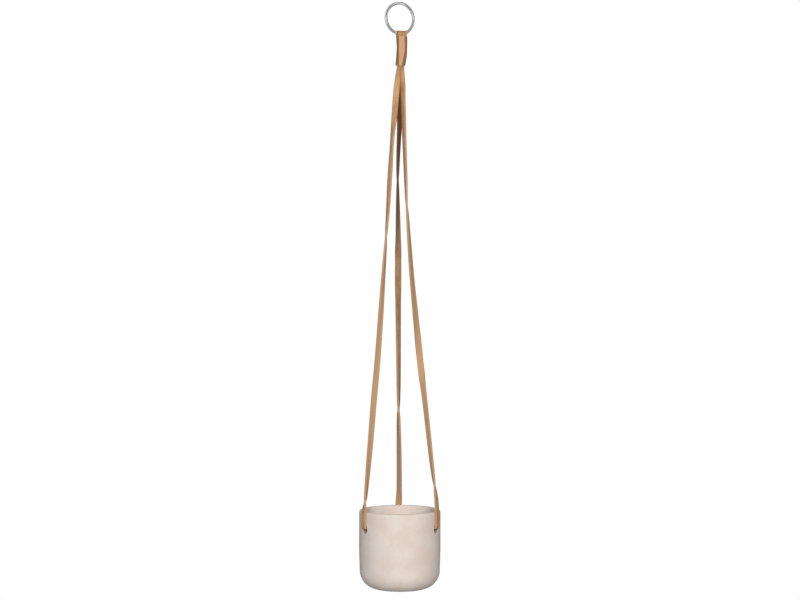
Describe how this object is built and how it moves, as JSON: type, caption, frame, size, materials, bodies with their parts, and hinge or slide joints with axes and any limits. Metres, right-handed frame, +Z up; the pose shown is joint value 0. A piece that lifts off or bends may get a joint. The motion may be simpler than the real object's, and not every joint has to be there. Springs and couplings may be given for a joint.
{
  "type": "hanging planter",
  "caption": "Hanging planter: a cement pot with a rounded base on flat leather straps that twist up to a leather wrap under a polished metal ring.",
  "frame": {"origin": "The hang point: the inside top of the metal ring, where a hook bears.", "axes": "+Z is up, +X is to the right seen from the front, and the front is -Y, the side the picture shows."},
  "size_m": [0.14, 0.1448, 1.0075],
  "materials": {
    "ring_metal": "polished bright metal wire",
    "strap_leather": "natural tan strap leather with pale cut edges",
    "wrap_leather": "tan leather, burnished darker on the bent sides",
    "thread": "waxed linen thread",
    "pot_cement": "matt pinkish beige wash over cement, faintly patchy"
  },
  "bodies": {
    "ring": {"hanging_ring": "ring_metal"},
    "loops": {"long_strap_fold": "strap_leather", "short_strap_fold": "strap_leather"},
    "hanger": {"gather_wrap": "wrap_leather", "wrap_stitches": "thread", "left_strap_neck": "strap_leather", "right_strap_neck": "strap_leather", "back_strap_neck": "strap_leather", "short_strap_tail": "strap_leather"},
    "planter": {"pot": "pot_cement", "left_strap": "strap_leather", "right_strap": "strap_leather", "back_strap": "strap_leather", "left_knot": "strap_leather", "right_knot": "strap_leather", "back_knot": "strap_leather"}
  },
  "joints": [
    {"name": "loops_slide", "type": "hinge", "parent": "ring", "child": "loops", "pos_m": [0, 0, -0.02375], "axis": [0.454, -0.891, 0], "range_deg": [-35, 35]},
    {"name": "hanger_rock", "type": "hinge", "parent": "loops", "child": "hanger", "pos_m": [0.00321, 0.00163, -0.04975], "axis": [0.891, 0.454, 0], "range_deg": [-35, 35], "deforming": ["left_strap_neck", "right_strap_neck", "back_strap_neck", "short_strap_tail"]},
    {"name": "pot_turn", "type": "hinge", "parent": "hanger", "child": "planter", "pos_m": [0, 0, -0.1057], "axis": [0, 0, 1], "range_deg": [-60, 60], "stiffness_Nm_per_rad": 0.006, "deforming": ["left_strap_neck", "right_strap_neck", "back_strap_neck"]}
  ]
}
